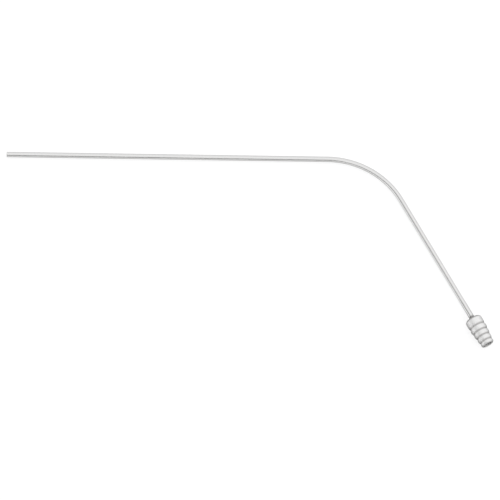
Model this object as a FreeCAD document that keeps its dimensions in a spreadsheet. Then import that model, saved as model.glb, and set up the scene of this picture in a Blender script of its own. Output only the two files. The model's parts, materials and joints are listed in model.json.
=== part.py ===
# A neurosurgical suction tube: a thin steel tube with one bend, brazed into a turned hose connector.
#
# The tip's mouth is the origin, and the tube's working length runs from there along +X. The bend turns
# it towards -Y, and the handle run ends in the connector. The tube lies as it comes to rest: the working
# length lies on the surface, and so does the connector, which is thicker, so the rest of the tube rises
# towards it by the angle that Layout calls rest_tilt. All sizes are in millimetres and degrees.
import FreeCAD
import Part
import Sketcher
import math
import os

Vector = FreeCAD.Vector
Constraint = Sketcher.Constraint

# Sketcher's numbers for a point of an element, and its name for the sketch's own origin.
START, END, CENTRE = 1, 2, 3
ORIGIN = (-1, START)

# How near to its place a circular edge has to be for the code to take it for the one it looks for.
EDGE_TOLERANCE = 1e-4

# The driving dimensions, each with its meaning.
SIZES = [
    ("tube_diameter", 2.5, "outside diameter of the tube"),
    ("tube_wall", 0.25, "wall of the tube"),
    ("tip_rounding", 0.15, "rounding of the tip's outer rim, which meets the tissue"),
    ("working_length", 150.0, "straight run from the tip's mouth to the bend"),
    ("bend_radius", 40.0, "radius of the bend at the tube's centreline"),
    ("bend_angle", 60.0, "angle that the bend turns the tube through"),
    ("handle_length", 68.0, "straight run from the bend to the connector's face"),
    ("socket_depth", 7.0, "how far the tube goes into the connector"),
    ("braze_gap", 0.05, "gap all round the tube in its socket, which the braze fills"),
    ("braze_fillet", 0.6, "leg of the braze fillet where the tube enters the connector"),
    ("braze_hollow", 1.2, "radius of the fillet's hollow face"),
    ("collar_length", 3.2, "from the connector's face to the crest of its first rib"),
    ("shoulder_rounding", 1.4, "rounding between the connector's face and its collar"),
    ("rib_diameter", 8.0, "diameter over the full ribs and the collar"),
    ("rib_count", 5, "number of ribs, the collar's among them"),
    ("full_ribs", 2, "number of ribs of full diameter, before the lead-in taper"),
    ("taper_step", 0.6, "what each rib of the taper loses in diameter"),
    ("rib_pitch", 2.65, "from one rib's crest to the next"),
    ("rib_rounding", 2.35, "radius of a rib's profile"),
    ("end_length", 0.7, "from the last rib's crest to the connector's end face"),
    ("end_rounding", 0.7, "rounding of the end face's outer edge, which leads into the hose"),
    ("hose_bore", 3.5, "bore of the connector on the hose side"),
    ("drill_angle", 118.0, "point angle of the drill that leaves the hose bore's cone"),
    ("mouth_chamfer", 0.25, "chamfer of the hose bore's mouth"),
]

# What follows from the driving dimensions.
LAYOUT = [
    ("connector_length",
     "=Sizes.collar_length + (Sizes.rib_count - 1) * Sizes.rib_pitch + Sizes.end_length",
     "length of the connector"),
    ("face_along",
     "=Sizes.working_length + Sizes.bend_radius * sin(Sizes.bend_angle * 1 deg)"
     " + Sizes.handle_length * cos(Sizes.bend_angle * 1 deg)",
     "place of the connector's face, along the working length"),
    ("face_across",
     "=Sizes.bend_radius * (1 - cos(Sizes.bend_angle * 1 deg))"
     " + Sizes.handle_length * sin(Sizes.bend_angle * 1 deg)",
     "place of the connector's face, across the working length"),
    ("rest_tilt",
     "=asin((Sizes.rib_diameter - Sizes.tube_diameter) / 2"
     " / (face_across + Sizes.shoulder_rounding * sin(Sizes.bend_angle * 1 deg))) / 1 deg",
     "how far the bent tube is rolled about its working length, for the collar to lie level with it"),
    ("cone_length",
     "=(Sizes.hose_bore / 2 - Sizes.tube_diameter / 2 - Sizes.braze_gap)"
     " / tan(Sizes.drill_angle * 1 deg / 2)",
     "length of the cone between the hose bore and the socket"),
]


def fill_sheet(doc, name, rows):
    """A spreadsheet of that name: the name of each row's value, the value and its meaning."""
    sheet = doc.addObject("Spreadsheet::Sheet", name)
    for line, (alias, value, meaning) in enumerate(rows, start=1):
        sheet.set("A%d" % line, alias)
        sheet.setAlias("B%d" % line, alias)
        sheet.set("B%d" % line, str(value))
        sheet.set("C%d" % line, meaning)
    doc.recompute()
    return sheet


def new_sketch(body, name, role):
    """A sketch on one of the body's own origin planes."""
    sketch = body.newObject("Sketcher::SketchObject", name)
    plane = next(f for f in body.Origin.OriginFeatures if f.Role == role)
    sketch.AttachmentSupport = [(plane, "")]
    sketch.MapMode = "FlatFace"
    return sketch


def bind(sketch, constraint, name, expression):
    """Adds a constraint of that name, whose value follows the expression."""
    index = sketch.addConstraint(constraint)
    sketch.renameConstraint(index, name)
    sketch.setExpression("Constraints." + name, expression)


def arc(centre, radius, start_angle, end_angle):
    """An arc in the sketch plane, anticlockwise from one angle to the other, in radians."""
    return Part.ArcOfCircle(Part.Circle(centre, Vector(0, 0, 1), radius), start_angle, end_angle)


def round_edge(shape, along, radius):
    """The name of the circular edge round the X axis that has that radius and lies at that X."""
    for number, edge in enumerate(shape.Edges, start=1):
        curve = edge.Curve
        if not isinstance(curve, Part.Circle):
            continue
        off = Vector(along, 0, 0) - curve.Center
        if off.Length < EDGE_TOLERANCE and abs(curve.Radius - radius) < EDGE_TOLERANCE:
            return "Edge%d" % number
    raise RuntimeError("no round edge at X %g with radius %g" % (along, radius))


def tube_path(body, sizes):
    """The tube's centreline: the working length, the bend and the run into the connector's socket."""
    turn = math.radians(sizes.bend_angle)
    bend_start = Vector(sizes.working_length, 0, 0)
    bend_centre = bend_start - Vector(0, sizes.bend_radius, 0)
    bend_end = bend_centre + sizes.bend_radius * Vector(math.sin(turn), math.cos(turn), 0)
    run = sizes.handle_length + sizes.socket_depth
    path_end = bend_end + run * Vector(math.cos(turn), -math.sin(turn), 0)

    sketch = new_sketch(body, "TubePath", "XY_Plane")
    working = sketch.addGeometry(Part.LineSegment(Vector(), bend_start), False)
    bend = sketch.addGeometry(
        arc(bend_centre, sizes.bend_radius, math.pi / 2 - turn, math.pi / 2), False)
    handle = sketch.addGeometry(Part.LineSegment(bend_end, path_end), False)

    sketch.addConstraint(Constraint("Coincident", working, START, *ORIGIN))
    sketch.addConstraint(Constraint("Horizontal", working))
    sketch.addConstraint(Constraint("Tangent", working, END, bend, END))
    sketch.addConstraint(Constraint("Tangent", bend, START, handle, START))
    bind(sketch, Constraint("Distance", working, sizes.working_length),
         "working_length", "Sizes.working_length")
    bind(sketch, Constraint("Radius", bend, sizes.bend_radius), "bend_radius", "Sizes.bend_radius")
    bind(sketch, Constraint("Angle", bend, turn), "bend_angle", "Sizes.bend_angle * 1 deg")
    bind(sketch, Constraint("Distance", handle, run),
         "handle_run", "Sizes.handle_length + Sizes.socket_depth")
    return sketch


def tube_section(body, sizes):
    """The tube's ring section, across the start of its centreline."""
    outer_diameter = sizes.tube_diameter
    inner_diameter = sizes.tube_diameter - 2 * sizes.tube_wall
    sketch = new_sketch(body, "TubeSection", "YZ_Plane")
    normal = Vector(0, 0, 1)
    outer = sketch.addGeometry(Part.Circle(Vector(), normal, outer_diameter / 2), False)
    inner = sketch.addGeometry(Part.Circle(Vector(), normal, inner_diameter / 2), False)
    sketch.addConstraint(Constraint("Coincident", outer, CENTRE, *ORIGIN))
    sketch.addConstraint(Constraint("Coincident", inner, CENTRE, *ORIGIN))
    bind(sketch, Constraint("Diameter", outer, outer_diameter),
         "outer_diameter", "Sizes.tube_diameter")
    bind(sketch, Constraint("Diameter", inner, inner_diameter),
         "inner_diameter", "Sizes.tube_diameter - 2 * Sizes.tube_wall")
    return sketch


def suction_tube(doc, sizes):
    """The drawn and bent tube, with its tip's rim rounded so that it doesn't cut tissue."""
    body = doc.addObject("PartDesign::Body", "Tube")
    body.Label = "suction_tube"
    path = tube_path(body, sizes)
    section = tube_section(body, sizes)
    pipe = body.newObject("PartDesign::AdditivePipe", "BentTube")
    pipe.Profile = section
    pipe.Spine = path
    doc.recompute()

    rim = body.newObject("PartDesign::Fillet", "TipRim")
    rim.Base = (pipe, [round_edge(pipe.Shape, 0, sizes.tube_diameter / 2)])
    rim.setExpression("Radius", "min(Sizes.tip_rounding; 0.9 * Sizes.tube_wall)")
    body.setExpression(
        "Placement",
        "create(<<placement>>; create(<<vector>>; 0; 0; 0);"
        " create(<<rotation>>; create(<<vector>>; 1; 0; 0); -Layout.rest_tilt))")
    return body


def place_on_handle(body):
    """Puts a piece that is modelled along its own +X at the connector's face, along the handle run."""
    body.setExpression(
        "Placement",
        "Tube.Placement * create(<<placement>>;"
        " create(<<vector>>; Layout.face_along; -Layout.face_across; 0);"
        " create(<<rotation>>; create(<<vector>>; 0; 0; 1); -Sizes.bend_angle))")


def rib_centres(sizes):
    """The centre of each rib's arc in the profile's plane."""
    centres = []
    for number in range(int(sizes.rib_count)):
        lost = sizes.taper_step * max(0, number + 1 - sizes.full_ribs)
        centres.append(Vector(sizes.collar_length + number * sizes.rib_pitch,
                              (sizes.rib_diameter - lost) / 2 - sizes.rib_rounding, 0))
    return centres


def groove_bottom(left, right, radius):
    """The point where two ribs' arcs of that radius meet, given the centres of both."""
    half = (right - left) / 2
    outward = Vector(-half.y, half.x, 0).normalize()
    return left + half + outward * math.sqrt(radius ** 2 - half.Length ** 2)


def inner_arc_centre(centre, radius, inner_radius, along):
    """The centre, at that place along X, of a smaller arc that runs on smoothly from a larger one."""
    off = along - centre.x
    return Vector(along, centre.y + math.sqrt((radius - inner_radius) ** 2 - off ** 2), 0)


def angle_to(origin, target):
    """The direction from one point to another, from 0 to a full turn, in radians."""
    off = target - origin
    return math.atan2(off.y, off.x) % (2 * math.pi)


def connector_profile(body, sizes, layout):
    """Half of the connector's long section, closed along its axis: face, shoulder, collar and ribs.

    Each rib is an arc that is highest at its crest, and two ribs meet in a sharp turned groove. The last
    rib runs over the rounded end edge into the end face.
    """
    crest = sizes.rib_diameter / 2
    rounding = sizes.shoulder_rounding
    ribs = rib_centres(sizes)
    grooves = [groove_bottom(a, b, sizes.rib_rounding) for a, b in zip(ribs, ribs[1:])]
    length = layout.connector_length
    end_centre = inner_arc_centre(ribs[-1], sizes.rib_rounding, sizes.end_rounding,
                                  length - sizes.end_rounding)
    end_corner = Vector(length, end_centre.y, 0)
    rib_end = ribs[-1] + (end_centre - ribs[-1]).normalize() * sizes.rib_rounding
    corners = [Vector(sizes.collar_length, crest, 0), *grooves, rib_end]

    sketch = new_sketch(body, "ConnectorProfile", "XY_Plane")
    shoulder_centre = Vector(rounding, crest - rounding, 0)
    face = sketch.addGeometry(
        Part.LineSegment(Vector(), Vector(0, crest - rounding, 0)), False)
    shoulder = sketch.addGeometry(arc(shoulder_centre, rounding, math.pi / 2, math.pi), False)
    collar = sketch.addGeometry(
        Part.LineSegment(Vector(rounding, crest, 0), Vector(sizes.collar_length, crest, 0)), False)
    rib_arcs = [
        sketch.addGeometry(
            arc(centre, sizes.rib_rounding, angle_to(centre, after), angle_to(centre, before)), False)
        for centre, before, after in zip(ribs, corners, corners[1:])]
    end_edge = sketch.addGeometry(
        arc(end_centre, sizes.end_rounding, 0, angle_to(end_centre, rib_end)), False)
    end = sketch.addGeometry(Part.LineSegment(end_corner, Vector(length, 0, 0)), False)
    axis = sketch.addGeometry(Part.LineSegment(Vector(length, 0, 0), Vector()), False)

    sketch.addConstraint(Constraint("Coincident", face, START, *ORIGIN))
    sketch.addConstraint(Constraint("Vertical", face))
    sketch.addConstraint(Constraint("Tangent", face, END, shoulder, END))
    sketch.addConstraint(Constraint("Tangent", shoulder, START, collar, START))
    sketch.addConstraint(Constraint("Horizontal", collar))
    sketch.addConstraint(Constraint("Tangent", collar, END, rib_arcs[0], END))
    for rib, following in zip(rib_arcs, rib_arcs[1:]):
        sketch.addConstraint(Constraint("Coincident", rib, START, following, END))
    sketch.addConstraint(Constraint("Tangent", rib_arcs[-1], START, end_edge, END))
    sketch.addConstraint(Constraint("Tangent", end_edge, START, end, START))
    sketch.addConstraint(Constraint("Vertical", end))
    sketch.addConstraint(Constraint("Coincident", end, END, axis, START))
    sketch.addConstraint(Constraint("Horizontal", axis))
    sketch.addConstraint(Constraint("Coincident", axis, END, *ORIGIN))

    bind(sketch, Constraint("Radius", shoulder, rounding),
         "shoulder_rounding", "Sizes.shoulder_rounding")
    bind(sketch, Constraint("DistanceX", *ORIGIN, collar, END, sizes.collar_length),
         "collar_length", "Sizes.collar_length")
    bind(sketch, Constraint("DistanceY", *ORIGIN, collar, END, crest),
         "crest_height", "Sizes.rib_diameter / 2")
    bind(sketch, Constraint("DistanceX", *ORIGIN, end, END, length),
         "connector_length", "Layout.connector_length")
    bind(sketch, Constraint("Radius", end_edge, sizes.end_rounding),
         "end_rounding", "Sizes.end_rounding")
    for number, (rib, centre) in enumerate(zip(rib_arcs, ribs)):
        bind(sketch, Constraint("Radius", rib, sizes.rib_rounding),
             "rib_rounding_%d" % number, "Sizes.rib_rounding")
        if number == 0:
            continue
        bind(sketch, Constraint("DistanceX", *ORIGIN, rib, CENTRE, centre.x),
             "rib_place_%d" % number, "Sizes.collar_length + %d * Sizes.rib_pitch" % number)
        bind(sketch, Constraint("DistanceY", *ORIGIN, rib, CENTRE, centre.y),
             "rib_height_%d" % number,
             "(Sizes.rib_diameter - Sizes.taper_step * max(0; %d - Sizes.full_ribs)) / 2"
             " - Sizes.rib_rounding" % (number + 1))
    return sketch


def bore_sketch(body, name, diameter, expression, along=None):
    """A circle about the connector's axis, on its face or, with along, that far from it."""
    sketch = new_sketch(body, name, "YZ_Plane")
    if along:
        sketch.setExpression("AttachmentOffset.Base.z", along)
    circle = sketch.addGeometry(Part.Circle(Vector(), Vector(0, 0, 1), diameter / 2), False)
    sketch.addConstraint(Constraint("Coincident", circle, CENTRE, *ORIGIN))
    bind(sketch, Constraint("Diameter", circle, diameter), "diameter", expression)
    return sketch


def hose_connector(doc, sizes, layout):
    """The turned connector: ribs that hold the hose, a socket for the tube and a wider hose bore."""
    body = doc.addObject("PartDesign::Body", "Connector")
    body.Label = "hose_connector"
    profile = connector_profile(body, sizes, layout)
    turned = body.newObject("PartDesign::Revolution", "TurnedBlank")
    turned.Profile = profile
    turned.ReferenceAxis = (profile, ["H_Axis"])
    turned.Angle = 360
    doc.recompute()

    socket_expression = "Sizes.tube_diameter + 2 * Sizes.braze_gap"
    socket_sketch = bore_sketch(body, "SocketCircle",
                                sizes.tube_diameter + 2 * sizes.braze_gap, socket_expression)
    doc.recompute()
    socket = body.newObject("PartDesign::Hole", "Socket")
    socket.Profile = socket_sketch
    socket.Reversed = True
    socket.DepthType = "ThroughAll"
    socket.setExpression("Diameter", socket_expression)
    doc.recompute()

    bore_circle = bore_sketch(body, "HoseBoreCircle", sizes.hose_bore, "Sizes.hose_bore",
                              along="Layout.connector_length")
    doc.recompute()
    bore = body.newObject("PartDesign::Hole", "HoseBore")
    bore.Profile = bore_circle
    bore.DepthType = "Dimension"
    bore.DrillPoint = "Angled"
    bore.DrillForDepth = False
    bore.setExpression("Diameter", "Sizes.hose_bore")
    bore.setExpression("DrillPointAngle", "Sizes.drill_angle")
    bore.setExpression("Depth",
                       "Layout.connector_length - Sizes.socket_depth - Layout.cone_length")
    doc.recompute()

    mouth = body.newObject("PartDesign::Chamfer", "BoreMouth")
    mouth.Base = (bore, [round_edge(bore.Shape, layout.connector_length, sizes.hose_bore / 2)])
    mouth.setExpression("Size", "Sizes.mouth_chamfer")
    place_on_handle(body)
    return body


def braze_joint(doc, sizes):
    """The braze: a thin sleeve between tube and socket, with a hollow fillet on the connector's face."""
    body = doc.addObject("PartDesign::Body", "Braze")
    body.Label = "braze_joint"
    tube_radius = sizes.tube_diameter / 2
    socket_radius = tube_radius + sizes.braze_gap
    leg = sizes.braze_fillet
    hollow = sizes.braze_hollow
    corners = [
        Vector(0, tube_radius + leg, 0),
        Vector(0, socket_radius, 0),
        Vector(sizes.socket_depth, socket_radius, 0),
        Vector(sizes.socket_depth, tube_radius, 0),
        Vector(-leg, tube_radius, 0),
    ]
    middle = Vector(-leg / 2, tube_radius + leg / 2, 0)
    outward = Vector(-1, 1, 0).normalize()
    fillet_centre = middle + outward * math.sqrt(hollow ** 2 - leg ** 2 / 2)

    sketch = new_sketch(body, "BrazeProfile", "XY_Plane")
    fillet = sketch.addGeometry(
        arc(fillet_centre, hollow,
            angle_to(fillet_centre, corners[-1]), angle_to(fillet_centre, corners[0])), False)
    face, socket_wall, inner_end, tube_wall = [
        sketch.addGeometry(Part.LineSegment(a, b), False) for a, b in zip(corners, corners[1:])]
    sketch.addConstraint(Constraint("Coincident", fillet, END, face, START))
    sketch.addConstraint(Constraint("Coincident", face, END, socket_wall, START))
    sketch.addConstraint(Constraint("Coincident", socket_wall, END, inner_end, START))
    sketch.addConstraint(Constraint("Coincident", inner_end, END, tube_wall, START))
    sketch.addConstraint(Constraint("Coincident", tube_wall, END, fillet, START))
    sketch.addConstraint(Constraint("PointOnObject", face, END, -2))
    sketch.addConstraint(Constraint("Vertical", face))
    sketch.addConstraint(Constraint("Horizontal", socket_wall))
    sketch.addConstraint(Constraint("Vertical", inner_end))
    sketch.addConstraint(Constraint("Horizontal", tube_wall))
    bind(sketch, Constraint("Radius", fillet, hollow), "fillet_hollow", "Sizes.braze_hollow")
    bind(sketch, Constraint("DistanceX", tube_wall, END, *ORIGIN, leg),
         "leg_on_tube", "Sizes.braze_fillet")
    bind(sketch, Constraint("DistanceY", tube_wall, END, face, START, leg),
         "leg_on_face", "Sizes.braze_fillet")
    bind(sketch, Constraint("DistanceY", *ORIGIN, tube_wall, END, tube_radius),
         "tube_radius", "Sizes.tube_diameter / 2")
    bind(sketch, Constraint("DistanceY", inner_end, END, inner_end, START, sizes.braze_gap),
         "braze_gap", "Sizes.braze_gap")
    bind(sketch, Constraint("DistanceX", *ORIGIN, inner_end, START, sizes.socket_depth),
         "socket_depth", "Sizes.socket_depth")

    ring = body.newObject("PartDesign::Revolution", "BrazeRing")
    ring.Profile = sketch
    ring.ReferenceAxis = (sketch, ["H_Axis"])
    ring.Angle = 360
    place_on_handle(body)
    return body


def check(doc, bodies):
    """Stops the script if any object failed, or a piece isn't one valid solid."""
    for item in doc.Objects:
        if "Invalid" in item.State or "Error" in item.State:
            raise RuntimeError("%s failed: %s" % (item.Name, item.State))
    for body in bodies:
        shape = body.Shape
        if shape.isNull() or not shape.isValid() or len(shape.Solids) != 1:
            raise RuntimeError("%s isn't one valid solid" % body.Label)


def main():
    doc = FreeCAD.newDocument("SuctionTube")
    sizes = fill_sheet(doc, "Sizes", SIZES)
    layout = fill_sheet(doc, "Layout", LAYOUT)
    bodies = [
        suction_tube(doc, sizes),
        hose_connector(doc, sizes, layout),
        braze_joint(doc, sizes),
    ]
    doc.recompute()
    check(doc, bodies)
    os.makedirs("parts", exist_ok=True)
    for body in bodies:
        body.Shape.exportStep("parts/%s.step" % body.Label)
        print("%s: volume %.3f mm3" % (body.Label, body.Shape.Volume))


main()
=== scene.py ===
"""The looks of the suction tube: fine meshes, steel and braze, floor, light and camera."""

import json
import math
from collections import namedtuple

import bpy
from mathutils import Matrix, Vector


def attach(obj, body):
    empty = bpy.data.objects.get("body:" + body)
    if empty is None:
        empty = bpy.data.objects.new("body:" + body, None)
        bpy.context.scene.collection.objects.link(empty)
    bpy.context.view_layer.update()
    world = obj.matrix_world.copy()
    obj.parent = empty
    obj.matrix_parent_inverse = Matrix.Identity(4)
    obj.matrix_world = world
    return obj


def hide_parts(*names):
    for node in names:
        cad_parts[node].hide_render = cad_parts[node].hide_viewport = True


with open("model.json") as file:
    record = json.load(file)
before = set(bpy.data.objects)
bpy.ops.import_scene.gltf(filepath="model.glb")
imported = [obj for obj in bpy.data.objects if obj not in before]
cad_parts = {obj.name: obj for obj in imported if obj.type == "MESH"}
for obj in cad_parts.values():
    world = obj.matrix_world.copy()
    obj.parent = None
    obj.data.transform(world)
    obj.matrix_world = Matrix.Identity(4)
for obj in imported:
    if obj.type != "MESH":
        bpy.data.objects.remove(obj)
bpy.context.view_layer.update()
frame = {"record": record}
MOUNTS = {mount["name"]: mount for mount in frame["record"]["mounts"]}

# Lengths are in millimetres until a mesh is made. The floor, its shade and the camera are in metres.
MM = 0.001

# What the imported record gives: the tube's two radii and straight run, and the connector's crest radius,
# bore, axis and land.
TUBE_RADIUS = MOUNTS["tip_shaft"]["dims"]["r_mm"]
LUMEN_RADIUS = MOUNTS["tip_lumen"]["dims"]["r_mm"]
WORKING_LENGTH = MOUNTS["tip_lumen"]["dims"]["length_mm"]
CREST_RADIUS = MOUNTS["hose_collar"]["dims"]["r_mm"]
BORE_RADIUS = MOUNTS["hose_bore"]["dims"]["r_mm"]
HANDLE_AXIS = Vector(MOUNTS["hose_collar"]["axis"]).normalized()
LAND_CENTRE = Vector(MOUNTS["hose_collar"]["pos_m"]) / MM

# The tube's bend, the run past it, and its ends.
BEND_RADIUS = 40.0
BEND_ANGLE = math.acos(HANDLE_AXIS.x)
BEND_LENGTH = BEND_RADIUS * BEND_ANGLE
HANDLE_LENGTH = 68.0
SOCKET_DEPTH = 7.0
TIP_ROUNDING = 0.15
INNER_ROUNDING = 0.05

# Where the bend ends and where the connector's face is, along the tube's centreline from the tip.
BEND_END = WORKING_LENGTH + BEND_LENGTH
FACE_STATION = BEND_END + HANDLE_LENGTH

# The connector, from its face at the tube's side.
SHOULDER_ROUNDING = 1.4
COLLAR_LENGTH = 3.2
RIB_COUNT = 5
FULL_RIBS = 2
TAPER_STEP = 0.6
RIB_PITCH = 2.65
RIB_ROUNDING = 2.35
GROOVE_ROUNDING = 0.12
GROOVE_DEPTH = RIB_PITCH ** 2 / (8 * RIB_ROUNDING)
END_LENGTH = 0.7
END_ROUNDING = 0.7
CONNECTOR_LENGTH = COLLAR_LENGTH + (RIB_COUNT - 1) * RIB_PITCH + END_LENGTH
MOUTH_CHAMFER = 0.25
MOUTH_ROUNDING = 0.04
DRILL_HALF_ANGLE = math.radians(59.0)

# The braze: its gap in the socket, its fillet's leg and hollow, and how its edge draws back here and
# there: by a share of the fillet, in waves that each have a number, a height and a start.
BRAZE_GAP = 0.05
BRAZE_LEG = 0.6
BRAZE_HOLLOW = 1.2
FLOW_SHARE = 0.10
FLOW_LEVEL = 0.5
FLOW_WAVES = ((2, 0.3, 0.7), (5, 0.2, 2.1))

# How the tube lies: rolled about its working length, so that the connector rests on the floor too.
ROLL_ANGLE = -math.atan2(HANDLE_AXIS.z, -HANDLE_AXIS.y)
ROLL = Matrix.Rotation(ROLL_ANGLE, 3, "X")
HANDLE_UP = ROLL @ Vector((0.0, 0.0, 1.0))
HANDLE_SIDE = HANDLE_UP.cross(HANDLE_AXIS)
FACE_CENTRE = LAND_CENTRE - HANDLE_AXIS * (SHOULDER_ROUNDING + COLLAR_LENGTH) / 2

# How finely the meshes follow the form: sides round a piece, steps in an arc, and the longest step of a
# straight run.
TUBE_SIDES = 96
CONNECTOR_SIDES = 160
BRAZE_SIDES = 128
BEND_STEPS = 72
TIP_STEPS = 6
INNER_EDGE_STEPS = 3
SHOULDER_STEPS = 14
RIB_STEPS = 12
GROOVE_STEPS = 4
END_STEPS = 12
MOUTH_STEPS = 4
FILLET_STEPS = 12
TUBE_STEP = 3.0
OUTSIDE_STEP = 0.3
BORE_STEP = 0.5
SOCKET_STEP = 1.0
SHARP_ANGLE = math.radians(32.0)


def arc_points(centre, radius, start, end, steps):
    """Points of an arc in the profile's plane, from one angle to the other, both ends among them."""
    angles = [start + (end - start) * step / steps for step in range(steps + 1)]
    return [(centre[0] + radius * math.cos(angle), centre[1] + radius * math.sin(angle))
            for angle in angles]


def even_points(start, end, step):
    """Points of a straight run, at most that far apart, without its two ends."""
    run = Vector(end) - Vector(start)
    count = max(1, math.ceil(run.length / step))
    return [tuple(Vector(start) + run * part / count) for part in range(1, count)]


def rounded(corner, before, after, radius, steps):
    """Points that round a profile's corner between two neighbours with an arc of that radius."""
    corner, before, after = Vector(corner), Vector(before), Vector(after)
    into, out = (before - corner).normalized(), (after - corner).normalized()
    half = into.angle(out) / 2
    centre = corner + (into + out).normalized() * radius / math.sin(half)
    reach = radius / math.tan(half)
    first, last = corner + into * reach - centre, corner + out * reach - centre
    start = math.atan2(first.y, first.x)
    turn = (math.atan2(last.y, last.x) - start + math.pi) % (2 * math.pi) - math.pi
    return arc_points(centre, radius, start, start + turn, steps)


def angle_to(origin, target):
    """The direction from one point to another in the profile's plane."""
    return math.atan2(target.y - origin.y, target.x - origin.x)


def along_tube(station, across, up):
    """Where a point of the straightened tube is on the bent one, by its station on the centreline."""
    turn = min(max((station - WORKING_LENGTH) / BEND_RADIUS, 0.0), BEND_ANGLE)
    before = min(station, WORKING_LENGTH)
    after = max(station - WORKING_LENGTH - BEND_LENGTH, 0.0)
    radius = BEND_RADIUS + across
    x = before + radius * math.sin(turn) + after * math.cos(turn)
    y = -BEND_RADIUS + radius * math.cos(turn) - after * math.sin(turn)
    return ROLL @ Vector((x, y, up))


def along_handle(station, across, up):
    """Where a point of the connector or the braze is, by its station on the axis from the face."""
    return FACE_CENTRE + HANDLE_AXIS * station + HANDLE_SIDE * across + HANDLE_UP * up


def turned_piece(name, profile, place, sides, dullness=None, flow=None):
    """A closed profile of (along, radius) points, turned about its axis and put in place.

    Each point keeps three attributes for the materials: where it lies on the straightened piece in
    millimetres, the direction round the axis, and how dull it is, which also darkens its colour as painted
    shade.
    """
    points, straight, turning, dull_and_shade_mask = [], [], [], []
    for along, radius in profile:
        dull_and_shade_mask += [dullness(along, radius) if dullness else 0.0] * sides
        for side in range(sides):
            angle = 2 * math.pi * side / sides
            station, reach = flow(along, radius, angle) if flow else (along, radius)
            across, up = reach * math.cos(angle), reach * math.sin(angle)
            points.append(place(station, across, up) * MM)
            straight.extend((station, across, up))
            turning.extend((place(station, -up, across) - place(station, 0.0, 0.0)).normalized())
    rows = len(profile)
    faces = [
        (row * sides + side,
         row * sides + (side + 1) % sides,
         (row + 1) % rows * sides + (side + 1) % sides,
         (row + 1) % rows * sides + side)
        for row in range(rows) for side in range(sides)]
    mesh = bpy.data.meshes.new(name)
    mesh.from_pydata(points, [], faces)
    mesh.attributes.new("straight", "FLOAT_VECTOR", "POINT").data.foreach_set("vector", straight)
    mesh.attributes.new("turning", "FLOAT_VECTOR", "POINT").data.foreach_set("vector", turning)
    mesh.attributes.new("dullness", "FLOAT", "POINT").data.foreach_set("value", dull_and_shade_mask)
    mesh.polygons.foreach_set("use_smooth", [True] * len(faces))
    mesh.set_sharp_from_angle(angle=SHARP_ANGLE)
    mesh.validate()
    piece = bpy.data.objects.new(name, mesh)
    bpy.context.scene.collection.objects.link(piece)
    return piece


def tube_profile():
    """The tube's wall, straightened: rounded tip rim, outside, end in the socket, and the lumen."""
    length = FACE_STATION + SOCKET_DEPTH
    bend = [WORKING_LENGTH + BEND_LENGTH * step / BEND_STEPS for step in range(BEND_STEPS + 1)]

    def stations(start, end):
        """Stations along the centreline: even ones, with the bend's own steps between them."""
        first = [along for along, _ in even_points((start, 0), (WORKING_LENGTH, 0), TUBE_STEP)]
        last = [along for along, _ in even_points((BEND_END, 0), (end, 0), TUBE_STEP)]
        return [*first, *bend, *last]

    tip = arc_points((TIP_ROUNDING, TUBE_RADIUS - TIP_ROUNDING), TIP_ROUNDING,
                     math.pi, math.pi / 2, TIP_STEPS)
    inner_edge = arc_points((INNER_ROUNDING, LUMEN_RADIUS + INNER_ROUNDING), INNER_ROUNDING,
                            -math.pi / 2, -math.pi, INNER_EDGE_STEPS)
    outside = [(along, TUBE_RADIUS) for along in stations(TIP_ROUNDING, length)]
    end = [(length, TUBE_RADIUS), (length, LUMEN_RADIUS)]
    inside = [(along, LUMEN_RADIUS) for along in reversed(stations(INNER_ROUNDING, length))]
    return [*inner_edge, *tip, *outside, *end, *inside]


def rib_radius(number):
    """The crest radius of a rib."""
    return CREST_RADIUS - TAPER_STEP / 2 * max(0, number + 1 - FULL_RIBS)


def rib_centres():
    """The centre of each rib's arc in the profile's plane."""
    return [Vector((COLLAR_LENGTH + number * RIB_PITCH, rib_radius(number) - RIB_ROUNDING))
            for number in range(RIB_COUNT)]


def hollow_centre(left, right):
    """The centre of the small hollow at the bottom of a groove, from its two ribs' centres."""
    half = (right - left) / 2
    outward = Vector((-half.y, half.x)).normalized()
    reach = RIB_ROUNDING + GROOVE_ROUNDING
    return left + half + outward * math.sqrt(reach ** 2 - half.length ** 2)


def end_centre(last_rib):
    """The centre of the rounded end edge, which runs on smoothly from the last rib's arc."""
    along = CONNECTOR_LENGTH - END_ROUNDING
    rise = math.sqrt((RIB_ROUNDING - END_ROUNDING) ** 2 - (along - last_rib.x) ** 2)
    return Vector((along, last_rib.y + rise))


def outer_profile():
    """The connector's outside, from the foot of its shoulder to its end face's rim."""
    ribs = rib_centres()
    hollows = [hollow_centre(left, right) for left, right in zip(ribs, ribs[1:])]
    end_edge = end_centre(ribs[-1])
    points = arc_points((SHOULDER_ROUNDING, CREST_RADIUS - SHOULDER_ROUNDING), SHOULDER_ROUNDING,
                        math.pi, math.pi / 2, SHOULDER_STEPS)
    points += even_points((SHOULDER_ROUNDING, CREST_RADIUS), (COLLAR_LENGTH, CREST_RADIUS),
                          OUTSIDE_STEP)
    start = math.pi / 2
    for rib, hollow, next_rib in zip(ribs, hollows, ribs[1:]):
        points += arc_points(rib, RIB_ROUNDING, start, angle_to(rib, hollow), RIB_STEPS)
        points += arc_points(hollow, GROOVE_ROUNDING, angle_to(hollow, rib),
                             angle_to(hollow, next_rib), GROOVE_STEPS)[1:-1]
        start = angle_to(next_rib, hollow)
    meeting = angle_to(ribs[-1], end_edge)
    points += arc_points(ribs[-1], RIB_ROUNDING, start, meeting, RIB_STEPS)
    points += arc_points(end_edge, END_ROUNDING, meeting, 0.0, END_STEPS)[1:]
    return points


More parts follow.
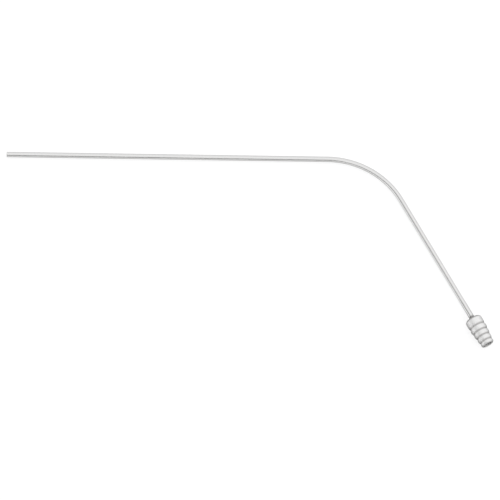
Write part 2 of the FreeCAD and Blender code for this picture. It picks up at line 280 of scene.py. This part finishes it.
def connector_profile():
    """The connector's whole section: outside, rounded end, hose bore, drilled cone and socket."""
    outside = outer_profile()
    socket_radius = TUBE_RADIUS + BRAZE_GAP
    cone_start = SOCKET_DEPTH + (BORE_RADIUS - socket_radius) / math.tan(DRILL_HALF_ANGLE)
    mouth_outer = (CONNECTOR_LENGTH, BORE_RADIUS + MOUTH_CHAMFER)
    mouth_inner = (CONNECTOR_LENGTH - MOUTH_CHAMFER, BORE_RADIUS)
    bore_end = (cone_start, BORE_RADIUS)
    profile = [(0.0, socket_radius)]
    profile += even_points((0.0, socket_radius), outside[0], OUTSIDE_STEP)
    profile += outside
    profile += rounded(mouth_outer, outside[-1], mouth_inner, MOUTH_ROUNDING, MOUTH_STEPS)
    profile += rounded(mouth_inner, mouth_outer, bore_end, MOUTH_ROUNDING, MOUTH_STEPS)
    # The bore runs straight on from the mouth's rounding, so the first of its even points is left out.
    profile += even_points(mouth_inner, bore_end, BORE_STEP)[1:]
    profile += [bore_end, (SOCKET_DEPTH, socket_radius)]
    profile += even_points((SOCKET_DEPTH, socket_radius), (0.0, socket_radius), SOCKET_STEP)
    return profile


def braze_profile():
    """The braze's section: hollow fillet in the corner, and the thin sleeve in the socket."""
    foot, top = Vector((-BRAZE_LEG, TUBE_RADIUS)), Vector((0.0, TUBE_RADIUS + BRAZE_LEG))
    middle = (foot + top) / 2
    outward = Vector((-1.0, 1.0)).normalized()
    centre = middle + outward * math.sqrt(BRAZE_HOLLOW ** 2 - BRAZE_LEG ** 2 / 2)
    fillet = arc_points(centre, BRAZE_HOLLOW, angle_to(centre, foot), angle_to(centre, top),
                        FILLET_STEPS)
    sleeve = [(0.0, TUBE_RADIUS + BRAZE_GAP), (SOCKET_DEPTH, TUBE_RADIUS + BRAZE_GAP),
              (SOCKET_DEPTH, TUBE_RADIUS)]
    return [*fillet, *sleeve]


def braze_flow(along, radius, angle):
    """Draws the fillet's edges back a little here and there, as molten braze leaves them."""
    waves = (height * math.sin(number * angle + start) for number, height, start in FLOW_WAVES)
    share = 1.0 - FLOW_SHARE * sum(waves, FLOW_LEVEL)
    rise = max(0.0, radius - TUBE_RADIUS - BRAZE_GAP)
    if along < 0.0:
        return along * share, TUBE_RADIUS + (radius - TUBE_RADIUS) * share
    return along, radius - rise * (1.0 - share)


# How dull the end face and the drilled parts are, from 0 for polished to 1, which also darkens them as
# painted shade.
FACE_DULL_AND_SHADE = 0.40
DRILLED_DULL_AND_SHADE = 0.70


def connector_dull_and_shade(along, radius):
    """How dull the connector is at a point of its profile, from 0 for polished to 1.

    The polishing wheel runs over the crests and the land. It reaches less and less of the shoulder
    towards the face, of a groove towards its bottom, and of the end past the last crest. The same value
    darkens the colour as painted shade: in the grooves, on the shoulder, on the end and in the bore.
    """
    crests = [(centre.x, rib_radius(number)) for number, centre in enumerate(rib_centres())]
    if radius < BORE_RADIUS + MOUTH_CHAMFER:
        return DRILLED_DULL_AND_SHADE
    if along < SHOULDER_ROUNDING:
        return 1.0 - along / SHOULDER_ROUNDING
    if along > crests[-1][0]:
        return FACE_DULL_AND_SHADE * (along - crests[-1][0]) / END_LENGTH
    for (left, low), (right, high) in zip(crests, crests[1:]):
        if left <= along <= right:
            line = low + (high - low) * (along - left) / (right - left)
            return min(1.0, max(0.0, (line - radius) / GROOVE_DEPTH))
    return 0.0


class Nodes:
    """Makes the node tree of a material or the world."""

    def __init__(self, owner):
        owner.use_nodes = True
        self.tree = owner.node_tree
        self.tree.nodes.clear()

    def add(self, kind, inputs=(), **settings):
        """A new node with its settings, and its inputs set or linked by name or number."""
        node = self.tree.nodes.new("ShaderNode" + kind)
        for key, value in settings.items():
            setattr(node, key, value)
        for key, value in dict(inputs).items():
            socket = node.inputs[key]
            if isinstance(value, bpy.types.NodeSocket):
                self.tree.links.new(value, socket)
            else:
                socket.default_value = value
        return node

    def attribute(self, name, output="Vector"):
        """What the mesh keeps at each point under that name."""
        return self.add("Attribute", attribute_name=name).outputs[output]

    def along(self):
        """How far along the straightened piece a point lies."""
        return self.add("SeparateXYZ", {0: self.attribute("straight")}).outputs["X"]

    def grain(self, cells, detail, roughness=0.55):
        """Noise on the straightened piece, with that many cells per mm along it, across and up."""
        place = self.add("VectorMath", {0: self.attribute("straight"), 1: cells}, operation="MULTIPLY")
        inputs = {"Vector": place.outputs[0], "Scale": 1.0, "Detail": detail, "Roughness": roughness}
        return self.add("TexNoise", inputs).outputs["Fac"]

    def math(self, operation, *values):
        """Arithmetic on values or sockets."""
        return self.add("Math", dict(enumerate(values)), operation=operation).outputs[0]

    def spread(self, value, low, high, to_low, to_high):
        """Maps a value from one range to another, clamped."""
        inputs = {"Value": value, "From Min": low, "From Max": high,
                  "To Min": to_low, "To Max": to_high}
        return self.add("MapRange", inputs, clamp=True).outputs["Result"]

    def blend(self, factor, first, second):
        """Mixes two colours. Several sockets of this node share a name, so they go by number."""
        return self.add("Mix", {0: factor, 6: first, 7: second}, data_type="RGBA").outputs[2]

    def bump(self, height, strength, relief):
        """A normal for a surface that rises and falls by a relief in millimetres."""
        inputs = {"Strength": strength, "Distance": relief * MM, "Height": height}
        return self.add("Bump", inputs).outputs[0]

    def metal(self, colour, rough, normal, **more):
        """Ends a material in a metal surface."""
        inputs = {"Base Color": colour, "Metallic": 1.0, "Roughness": rough, "Normal": normal, **more}
        shader = self.add("BsdfPrincipled", inputs)
        self.add("OutputMaterial", {"Surface": shader.outputs[0]})


def grey(level, warmth=0.0):
    """A grey of that linear level, with a touch of warmth."""
    return (level * (1 + warmth), level, level * (1 - warmth), 1.0)


# Noise spreads over about this range, and worn marks show where it is above MARK_START.
NOISE_LOW, NOISE_HIGH = 0.3, 0.7
MARK_START = 0.45

# The tint that brazing left, darkened further as painted shade in the joint and on the shoulder: its
# colour, how far in front of the connector's face it starts on the tube, from where it fades on the
# shoulder, and how strong it is there.
HEAT_AND_SHADE_COLOUR = grey(0.20, 0.02)
TUBE_HEAT_AND_SHADE_LENGTH = 1.8
SHOULDER_HEAT_AND_SHADE_START = 0.1
SHOULDER_HEAT_AND_SHADE = 0.75

# The tube's grains, tones and roughness. Its tone is a base with a share of the lines and the streaks.
LINE_GRAIN = (0.06, 14.0, 14.0)
STREAK_GRAIN = (0.05, 1.3, 1.3)
WIPING_GRAIN = (0.9, 2.0, 2.0)
BASE_TONE = 0.25
LINE_TONE = 0.5
STREAK_TONE = 0.25
TUBE_DARK, TUBE_PALE = grey(0.66, 0.004), grey(0.77, 0.004)
TUBE_ROUGH_LOW, TUBE_ROUGH_HIGH = 0.17, 0.27
WIPING_ROUGHNESS = 0.07

# The connector's grains, tones and roughness, where its dull parts, darkened as painted shade, start to
# show and show in full, and how far the turning rings spread its gloss.
RING_GRAIN = (16.0, 0.12, 0.12)
HANDLING_GRAIN = (1.6, 1.6, 1.6)
DULL_AND_SHADE_START, DULL_AND_SHADE_FULL = 0.15, 0.80
POLISHED_DARK, POLISHED_PALE = grey(0.88, 0.003), grey(0.94, 0.003)
DULL_AND_SHADE_COLOUR = grey(0.62, 0.01)
ROUGH_LOW, ROUGH_HIGH = 0.60, 0.68
DULL_ROUGHNESS = 0.08
HANDLING_ROUGHNESS = 0.06
RING_SPREAD = 0.55

# The braze's grains, tones and roughness. Its tones are darkened as painted shade in the joint.
MOTTLE_GRAIN = (3.0, 3.0, 3.0)
RIPPLE_GRAIN = (9.0, 4.0, 4.0)
MOTTLE_LOW, MOTTLE_HIGH = 0.35, 0.65
BRAZE_DARK_SHADED, BRAZE_PALE_SHADED = (0.26, 0.245, 0.215, 1.0), (0.42, 0.405, 0.37, 1.0)
BRAZE_ROUGH_DARK, BRAZE_ROUGH_PALE = 0.5, 0.34


def drawn_steel():
    """Satin steel tube: lines from drawing and polishing along it, and faint wiping marks."""
    material = bpy.data.materials.new("drawn_steel")
    nodes = Nodes(material)
    lines = nodes.grain(LINE_GRAIN, detail=5.0, roughness=0.7)
    streaks = nodes.grain(STREAK_GRAIN, detail=2.0)
    marks = nodes.grain(WIPING_GRAIN, detail=4.0)
    tone = nodes.math("MULTIPLY_ADD", lines, LINE_TONE, BASE_TONE)
    tone = nodes.math("ADD", tone, nodes.math("MULTIPLY", streaks, STREAK_TONE))
    colour = nodes.blend(tone, TUBE_DARK, TUBE_PALE)
    # Heat tint, darkened as painted shade on the tube where it meets the connector.
    heat_and_shade = nodes.spread(nodes.along(), FACE_STATION - TUBE_HEAT_AND_SHADE_LENGTH, FACE_STATION - BRAZE_LEG,
                        0.0, 1.0)
    colour = nodes.blend(heat_and_shade, colour, HEAT_AND_SHADE_COLOUR)
    rough = nodes.spread(lines, NOISE_LOW, NOISE_HIGH, TUBE_ROUGH_LOW, TUBE_ROUGH_HIGH)
    rough = nodes.math("ADD", rough,
                       nodes.spread(marks, MARK_START, NOISE_HIGH, 0.0, WIPING_ROUGHNESS))
    nodes.metal(colour, rough, nodes.bump(lines, strength=0.25, relief=0.02))
    return material


def turned_steel():
    """Turned steel: fine rings from the tool, polished crests, and duller grooves darkened with painted
    shade.
    """
    material = bpy.data.materials.new("turned_steel")
    nodes = Nodes(material)
    rings = nodes.grain(RING_GRAIN, detail=5.0, roughness=0.7)
    marks = nodes.grain(HANDLING_GRAIN, detail=4.0)
    dull_and_shade_mask = nodes.spread(nodes.attribute("dullness", "Fac"), DULL_AND_SHADE_START, DULL_AND_SHADE_FULL, 0.0, 1.0)
    colour = nodes.blend(rings, POLISHED_DARK, POLISHED_PALE)
    # Dull parts are darkened as painted shade in the grooves, on the shoulder, the end face and the bore.
    colour = nodes.blend(dull_and_shade_mask, colour, DULL_AND_SHADE_COLOUR)
    # Heat tint, darkened as painted shade on the connector's shoulder.
    heat_and_shade = nodes.spread(nodes.along(), SHOULDER_HEAT_AND_SHADE_START, SHOULDER_ROUNDING, SHOULDER_HEAT_AND_SHADE, 0.0)
    colour = nodes.blend(heat_and_shade, colour, HEAT_AND_SHADE_COLOUR)
    rough = nodes.math("ADD", nodes.spread(rings, NOISE_LOW, NOISE_HIGH, ROUGH_LOW, ROUGH_HIGH),
                       nodes.math("MULTIPLY", dull_and_shade_mask, DULL_ROUGHNESS))
    rough = nodes.math("ADD", rough,
                       nodes.spread(marks, MARK_START, NOISE_HIGH, 0.0, HANDLING_ROUGHNESS))
    turning = nodes.add("VectorTransform", {"Vector": nodes.attribute("turning")},
                        vector_type="VECTOR", convert_from="OBJECT", convert_to="WORLD").outputs[0]
    normal = nodes.add("NewGeometry").outputs["Normal"]
    across_rings = nodes.add("VectorMath", {0: normal, 1: turning}, operation="CROSS_PRODUCT")
    nodes.metal(colour, rough, nodes.bump(rings, strength=0.3, relief=0.03),
                Anisotropic=RING_SPREAD, Tangent=across_rings.outputs[0])
    return material


def silver_braze():
    """Matt silver braze, a little warmer than the steel, mottled where the flux was cleaned off, and
    darkened all over as painted shade in the joint.
    """
    material = bpy.data.materials.new("silver_braze")
    nodes = Nodes(material)
    mottle = nodes.grain(MOTTLE_GRAIN, detail=4.0)
    ripples = nodes.grain(RIPPLE_GRAIN, detail=3.0)
    tone = nodes.spread(mottle, MOTTLE_LOW, MOTTLE_HIGH, 0.0, 1.0)
    # Both tones are darker than silver braze, as painted shade in the joint.
    colour = nodes.blend(tone, BRAZE_DARK_SHADED, BRAZE_PALE_SHADED)
    rough = nodes.spread(mottle, NOISE_LOW, NOISE_HIGH, BRAZE_ROUGH_DARK, BRAZE_ROUGH_PALE)
    nodes.metal(colour, rough, nodes.bump(ripples, strength=0.5, relief=0.04))
    return material


def add_piece(piece, node, material):
    """Gives a piece its material and its place in the frame's bookkeeping."""
    piece.data.materials.append(material)
    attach(piece, "root")
    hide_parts(node)


# The floor's size in metres, its diffuse colour, and what it adds to come out white: for the camera, and
# in reflections. Reflections get less of it close to the connector, whose edges are dark in the photo: it
# starts and is whole at these distances from the connector's middle.
FLOOR_RADIUS = 2.0
FLOOR_SIDES = 64
FLOOR_DIFFUSE = 0.30
FLOOR_GLOW = 0.78
FLOOR_GLOW_REFLECTED = 0.46
FLOOR_GLOW_BESIDE = 0.0
SHADE_START, SHADE_END = 0.012, 0.022


def add_floor():
    """A wide pale floor that the tube and the connector lie on, white to the camera."""
    height = -TUBE_RADIUS * MM
    angles = [2 * math.pi * side / FLOOR_SIDES for side in range(FLOOR_SIDES)]
    corners = [(FLOOR_RADIUS * math.cos(angle), FLOOR_RADIUS * math.sin(angle), height)
               for angle in angles]
    mesh = bpy.data.meshes.new("floor")
    mesh.from_pydata(corners, [], [tuple(range(FLOOR_SIDES))])
    floor = bpy.data.objects.new("floor", mesh)
    bpy.context.scene.collection.objects.link(floor)
    material = bpy.data.materials.new("floor_white")
    nodes = Nodes(material)
    path = nodes.add("LightPath").outputs
    reflected = nodes.math("MAXIMUM", path["Is Glossy Ray"], path["Is Transmission Ray"])
    place = nodes.add("NewGeometry").outputs["Position"]
    middle = (FACE_CENTRE + HANDLE_AXIS * CONNECTOR_LENGTH / 2) * MM
    distance = nodes.add("VectorMath", {0: place, 1: middle}, operation="DISTANCE").outputs["Value"]
    beside = nodes.spread(distance, SHADE_START, SHADE_END, FLOOR_GLOW_BESIDE, FLOOR_GLOW_REFLECTED)
    strength = nodes.math("ADD", nodes.math("MULTIPLY", path["Is Camera Ray"], FLOOR_GLOW),
                          nodes.math("MULTIPLY", reflected, beside))
    diffuse = nodes.add("BsdfDiffuse", {"Color": grey(FLOOR_DIFFUSE)})
    glow = nodes.add("Emission", {"Color": grey(1.0), "Strength": strength})
    shader = nodes.add("AddShader", {0: diffuse.outputs[0], 1: glow.outputs[0]})
    nodes.add("OutputMaterial", {"Surface": shader.outputs[0]})
    mesh.materials.append(material)


# The studio is an even dome. Soft dark spots in it, from the front round to the left, draw the dark line
# along the polished tube, and two faint ones lie low at the back. A spot fades in as the product of a
# direction and its aim goes from start to full.
Spot = namedtuple("Spot", "aim start full darkness")
DOME_LEVEL = 1.09
DARK_SPOTS = (
    Spot((0.0, -0.91, 0.415), 0.86, 0.975, 0.84),
    Spot((-0.58, -0.69, 0.43), 0.88, 0.98, 0.75),
    Spot((-0.74, -0.06, 0.67), 0.915, 0.985, 0.84))
FAINT_SPOTS = (
    Spot((-0.2, 0.98, 0.0), 0.5, 0.95, 0.12),
    Spot((-0.75, 0.66, 0.0), 0.55, 0.90, 0.2))

# A strip of light low at the front left: its middle, where it fades in sideways, the heights between
# which it rises and falls off again, and what it adds.
STRIP_AIM = (-0.80, -0.60, 0.0)
STRIP_START, STRIP_FULL = 0.10, 0.60
STRIP_BOTTOM, STRIP_RISE, STRIP_FALL, STRIP_TOP = -0.10, 0.0, 0.10, 0.40
STRIP_GAIN = 0.9


def add_world():
    """Soft light from all round, with darker parts that draw the edges of polished metal."""
    world = bpy.data.worlds.new("studio")
    bpy.context.scene.world = world
    nodes = Nodes(world)
    direction = nodes.add("TexCoord").outputs["Generated"]
    height = nodes.add("SeparateXYZ", {0: direction}).outputs["Z"]

    def towards(aim, start, full, most):
        """A value that grows from 0 to the most as a direction comes nearer to the aim."""
        product = nodes.add("VectorMath", {0: direction, 1: aim}, operation="DOT_PRODUCT")
        return nodes.spread(product.outputs["Value"], start, full, 0.0, most)

    def light_left(spots):
        """The share of the light that the darkest of some spots leaves."""
        darkness = 0.0
        for spot in spots:
            darkness = nodes.math("MAXIMUM", darkness, towards(*spot))
        return nodes.math("SUBTRACT", 1.0, darkness)

    level = nodes.math("MULTIPLY", light_left(DARK_SPOTS), DOME_LEVEL)
    level = nodes.math("MULTIPLY", level, light_left(FAINT_SPOTS))
    strip = nodes.math("MULTIPLY", nodes.spread(height, STRIP_BOTTOM, STRIP_RISE, 0.0, STRIP_GAIN),
                       nodes.spread(height, STRIP_FALL, STRIP_TOP, 1.0, 0.0))
    strip = nodes.math("MULTIPLY", strip, towards(STRIP_AIM, STRIP_START, STRIP_FULL, 1.0))
    level = nodes.math("ADD", level, strip)
    camera_ray = nodes.add("LightPath").outputs["Is Camera Ray"]
    light = nodes.add("Background", {"Color": grey(1.0), "Strength": level})
    white = nodes.add("Background", {"Color": grey(1.0), "Strength": 1.0})
    shader = nodes.add("MixShader", {0: camera_ray, 1: light.outputs[0], 2: white.outputs[0]})
    nodes.add("OutputWorld", {"Surface": shader.outputs[0]})


# The camera as fitted to the photo: it looks steeply down from in front. Its target and distance are in
# metres, and its lens and sensor in millimetres.
CAMERA_ELEVATION = math.radians(70.0)
CAMERA_AZIMUTH = math.radians(3.126)
CAMERA_ROLL = math.radians(-2.055)
CAMERA_DISTANCE = 3.231257
CAMERA_TARGET = Vector((0.114804, -0.045671, 0.0))
CAMERA_LENS = 500.0
CAMERA_SENSOR = 36.0
CAMERA_NEAR, CAMERA_FAR = 0.1, 20.0


def add_camera():
    """The camera, turned towards its target and rolled a little about its line of sight."""
    back = Vector((math.sin(CAMERA_AZIMUTH) * math.cos(CAMERA_ELEVATION),
                   -math.cos(CAMERA_AZIMUTH) * math.cos(CAMERA_ELEVATION),
                   math.sin(CAMERA_ELEVATION)))
    right = Vector((math.cos(CAMERA_AZIMUTH), math.sin(CAMERA_AZIMUTH), 0.0))
    up = back.cross(right)
    rolled_right = math.cos(CAMERA_ROLL) * right + math.sin(CAMERA_ROLL) * up
    rolled_up = back.cross(rolled_right)
    camera = bpy.data.objects.new("camera", bpy.data.cameras.new("camera"))
    bpy.context.scene.collection.objects.link(camera)
    camera.data.lens = CAMERA_LENS
    camera.data.sensor_width = CAMERA_SENSOR
    camera.data.clip_start = CAMERA_NEAR
    camera.data.clip_end = CAMERA_FAR
    rotation = Matrix((rolled_right, rolled_up, back)).transposed().to_4x4()
    camera.matrix_world = Matrix.Translation(CAMERA_TARGET + back * CAMERA_DISTANCE) @ rotation
    bpy.context.scene.camera = camera


bpy.context.scene.view_settings.view_transform = "Standard"
add_camera()
add_world()
add_floor()

tube = turned_piece("drawn_tube", tube_profile(), along_tube, TUBE_SIDES)
add_piece(tube, "suction_tube", drawn_steel())

connector = turned_piece("ribbed_connector", connector_profile(), along_handle, CONNECTOR_SIDES,
                         dullness=connector_dull_and_shade)
add_piece(connector, "hose_connector", turned_steel())

braze = turned_piece("braze_ring", braze_profile(), along_handle, BRAZE_SIDES, flow=braze_flow)
add_piece(braze, "braze_joint", silver_braze())
